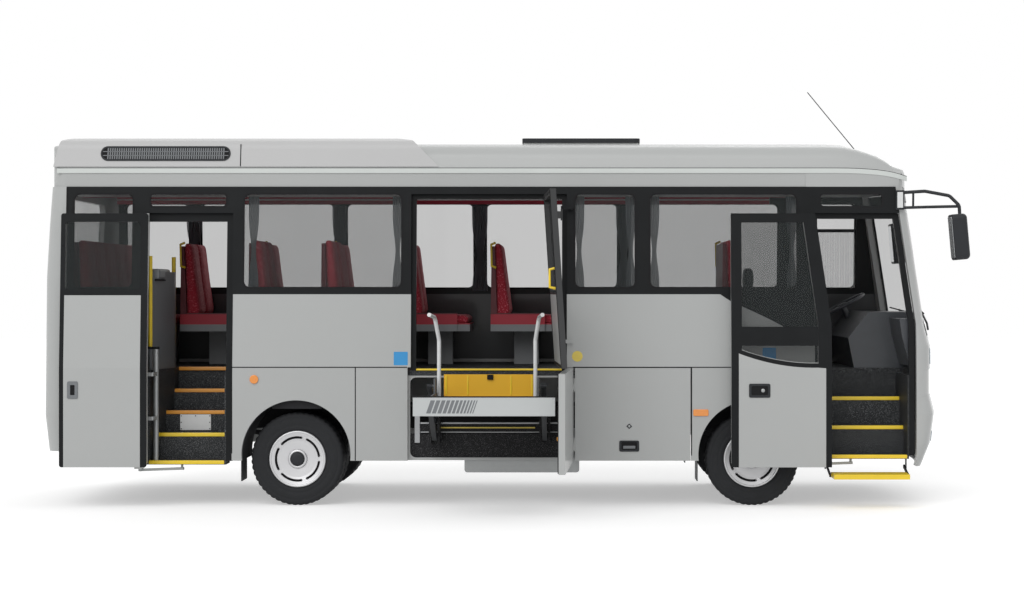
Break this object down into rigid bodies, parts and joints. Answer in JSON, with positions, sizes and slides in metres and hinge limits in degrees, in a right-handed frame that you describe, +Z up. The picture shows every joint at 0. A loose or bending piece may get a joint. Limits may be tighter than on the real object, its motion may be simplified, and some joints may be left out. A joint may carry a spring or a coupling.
{
  "type": "airport passenger bus",
  "caption": "Passenger midibus with two outswing doors, luggage flaps and a wheelchair lift in its side.",
  "frame": {"origin": "on the ground, on the centre line, halfway between the axles", "axes": "+X to the front, +Y to the vehicle's left, +Z up"},
  "size_m": [7.6001, 3.8332, 3.508],
  "materials": {
    "body_grey": "satin",
    "roof_grey": "satin",
    "black_paint": "gloss",
    "window_glass": "gloss",
    "tyre_rubber": "matte",
    "wheel_silver": "satin",
    "chassis_black": "matte",
    "steel_grey": "satin",
    "lift_grey": "satin",
    "dark_plastic": "matte",
    "grey_plastic": "matte",
    "speckled_floor": "matte",
    "seat_red": "matte",
    "curtain_grey": "matte",
    "lamp_lens": "gloss",
    "yellow_paint": "satin",
    "white_rail": "gloss",
    "light_trim": "satin"
  },
  "bodies": {
    "coach_body": {"aerial": "dark_plastic", "bumpers": "body_grey", "chassis_frame": "chassis_black", "curtains": "curtain_grey", "dashboard": "dark_plastic", "door_frames": "black_paint", "engine_block": "chassis_black", "floor": "speckled_floor", "front_axle": "chassis_black", "front_panel": "body_grey", "fuel_tank": "steel_grey", "glazing": "window_glass", "lamps": "lamp_lens", "leaf_springs": "chassis_black", "lift_cassette": "lift_grey", "luggage_racks": "light_trim", "mirrors": "dark_plastic", "partition": "grey_plastic", "rear_axle": "chassis_black", "rear_panel": "body_grey", "roof": "roof_grey", "roof_pod": "roof_grey", "seat_pads": "seat_red", "seat_shells": "grey_plastic", "skirts": "body_grey", "stairwells": "speckled_floor", "waist_panels": "body_grey", "wheel_tunnels": "dark_plastic", "window_frames": "black_paint"},
    "steer_knuckle_right": {"knuckle_right": "chassis_black"},
    "steer_knuckle_left": {"knuckle_left": "chassis_black"},
    "tie_bar": {"tie_rod": "chassis_black"},
    "wheel_front_right": {"front_tyre_right": "tyre_rubber", "front_rim_right": "wheel_silver"},
    "wheel_front_left": {"front_tyre_left": "tyre_rubber", "front_rim_left": "wheel_silver"},
    "wheels_rear_right": {"rear_tyres_right": "tyre_rubber", "rear_rims_right": "wheel_silver"},
    "wheels_rear_left": {"rear_tyres_left": "tyre_rubber", "rear_rims_left": "wheel_silver"},
    "rear_post": {"rear_door_post": "steel_grey"},
    "rear_door": {"rear_door_leaf": "body_grey", "rear_door_glass": "window_glass"},
    "rear_rod": {"rear_door_rod": "steel_grey"},
    "front_post": {"front_door_post": "steel_grey"},
    "front_door": {"front_door_leaf": "body_grey", "front_door_glass": "window_glass"},
    "front_rod": {"front_door_rod": "steel_grey"},
    "upper_lift_door": {"upper_lift_door_leaf": "body_grey", "upper_lift_door_glass": "window_glass"},
    "lower_door": {"lower_lift_door": "body_grey"},
    "side_flap": {"luggage_flap": "body_grey"},
    "boot": {"boot_lid": "body_grey"},
    "hatch": {"roof_hatch": "dark_plastic"},
    "step_arms": {"fold_step_arms": "chassis_black"},
    "step_tread": {"fold_step": "yellow_paint"},
    "arms": {"lift_arms": "lift_grey"},
    "links": {"lift_links": "lift_grey"},
    "platform": {"lift_platform": "lift_grey", "lift_handrails": "white_rail"}
  },
  "joints": [
    {"name": "steer_right", "type": "hinge", "parent": "coach_body", "child": "steer_knuckle_right", "pos_m": [1.875, -0.88, 0.3835], "axis": [0, 0, 1], "range_deg": [-35, 35]},
    {"name": "steer_left", "type": "hinge", "parent": "coach_body", "child": "steer_knuckle_left", "pos_m": [1.875, 0.88, 0.3835], "axis": [0, 0, 1], "range_deg": [-35, 35]},
    {"name": "tie_bar_turn", "type": "hinge", "parent": "steer_knuckle_right", "child": "tie_bar", "pos_m": [1.745, -0.88, 0.2865], "axis": [0, 0, 1], "range_deg": [-35, 35]},
    {"name": "spin_front_right", "type": "hinge", "parent": "steer_knuckle_right", "child": "wheel_front_right", "pos_m": [1.875, -0.935, 0.3835], "axis": [0, 1, 0], "continuous": true},
    {"name": "spin_front_left", "type": "hinge", "parent": "steer_knuckle_left", "child": "wheel_front_left", "pos_m": [1.875, 0.935, 0.3835], "axis": [0, 1, 0], "continuous": true},
    {"name": "spin_rear_right", "type": "hinge", "parent": "coach_body", "child": "wheels_rear_right", "pos_m": [-1.875, -0.812, 0.3835], "axis": [0, 1, 0], "continuous": true},
    {"name": "spin_rear_left", "type": "hinge", "parent": "coach_body", "child": "wheels_rear_left", "pos_m": [-1.875, 0.812, 0.3835], "axis": [0, 1, 0], "continuous": true},
    {"name": "rear_post_turn", "type": "hinge", "parent": "coach_body", "child": "rear_post", "pos_m": [-3.043, -1.035, 0.8], "axis": [0, 0, 1], "range_deg": [0, 157.58]},
    {"name": "rear_door_turn", "type": "hinge", "parent": "rear_post", "child": "rear_door", "pos_m": [-3.35813, -1.17541, 0.8], "axis": [0, 0, 1], "range_deg": [-157.58, 0]},
    {"name": "rear_rod_turn", "type": "hinge", "parent": "coach_body", "child": "rear_rod", "pos_m": [-2.828, -1.035, 0.35], "axis": [0, 0, 1], "range_deg": [0, 157.58]},
    {"name": "front_post_turn", "type": "hinge", "parent": "coach_body", "child": "front_post", "pos_m": [2.475, -1.035, 0.8], "axis": [0, 0, 1], "range_deg": [0, 156.66]},
    {"name": "front_door_turn", "type": "hinge", "parent": "front_post", "child": "front_door", "pos_m": [2.13799, -1.18282, 0.8], "axis": [0, 0, 1], "range_deg": [-156.66, 0]},
    {"name": "front_rod_turn", "type": "hinge", "parent": "coach_body", "child": "front_rod", "pos_m": [2.69, -1.035, 0.35], "axis": [0, 0, 1], "range_deg": [0, 156.66]},
    {"name": "upper_lift_door_turn", "type": "hinge", "parent": "coach_body", "child": "upper_lift_door", "pos_m": [0.306, -1.152, 1.8], "axis": [0, 0, -1], "range_deg": [-82, 4]},
    {"name": "lower_lift_door_turn", "type": "hinge", "parent": "coach_body", "child": "lower_door", "pos_m": [0.408, -1.146, 0.76], "axis": [0, 0, -1], "range_deg": [-82.7, 1.3]},
    {"name": "luggage_flap_turn", "type": "hinge", "parent": "coach_body", "child": "side_flap", "pos_m": [0.889, -1.14, 1.141], "axis": [-1, 0, 0], "range_deg": [0, 95]},
    {"name": "boot_lid_turn", "type": "hinge", "parent": "coach_body", "child": "boot", "pos_m": [-3.963, 0, 1.557], "axis": [0, 1, 0], "range_deg": [0, 80]},
    {"name": "roof_hatch_turn", "type": "hinge", "parent": "coach_body", "child": "hatch", "pos_m": [0.973, 0, 3.0403], "axis": [0, 1, 0], "range_deg": [0, 30]},
    {"name": "step_arms_turn", "type": "hinge", "parent": "coach_body", "child": "step_arms", "pos_m": [2.8, -1, 0.318], "axis": [1, 0, 0], "range_deg": [0, 151]},
    {"name": "step_tread_turn", "type": "hinge", "parent": "step_arms", "child": "step_tread", "pos_m": [2.8, -1.21, 0.265], "axis": [1, 0, 0], "range_deg": [-151, 0]},
    {"name": "lift_arms_turn", "type": "hinge", "parent": "coach_body", "child": "arms", "pos_m": [-0.283, -1.215, 0.575], "axis": [-1, 0, 0], "range_deg": [-71, 21.2]},
    {"name": "lift_links_turn", "type": "hinge", "parent": "coach_body", "child": "links", "pos_m": [-0.283, -1.215, 0.705], "axis": [-1, 0, 0], "range_deg": [-71, 21.2]},
    {"name": "lift_platform_turn", "type": "hinge", "parent": "arms", "child": "platform", "pos_m": [-0.283, -1.8401, 0.89], "axis": [-1, 0, 0], "range_deg": [-21.2, 71]}
  ],
  "couplings": [
    {"joint": "steer_left", "follows": "steer_right", "ratio": 1},
    {"joint": "tie_bar_turn", "follows": "steer_right", "ratio": -1},
    {"joint": "rear_door_turn", "follows": "rear_post_turn", "ratio": -1},
    {"joint": "rear_rod_turn", "follows": "rear_post_turn", "ratio": 1},
    {"joint": "front_door_turn", "follows": "front_post_turn", "ratio": -1},
    {"joint": "front_rod_turn", "follows": "front_post_turn", "ratio": 1},
    {"joint": "step_tread_turn", "follows": "step_arms_turn", "ratio": -1},
    {"joint": "lift_links_turn", "follows": "lift_arms_turn", "ratio": 1},
    {"joint": "lift_platform_turn", "follows": "lift_arms_turn", "ratio": -1}
  ]
}
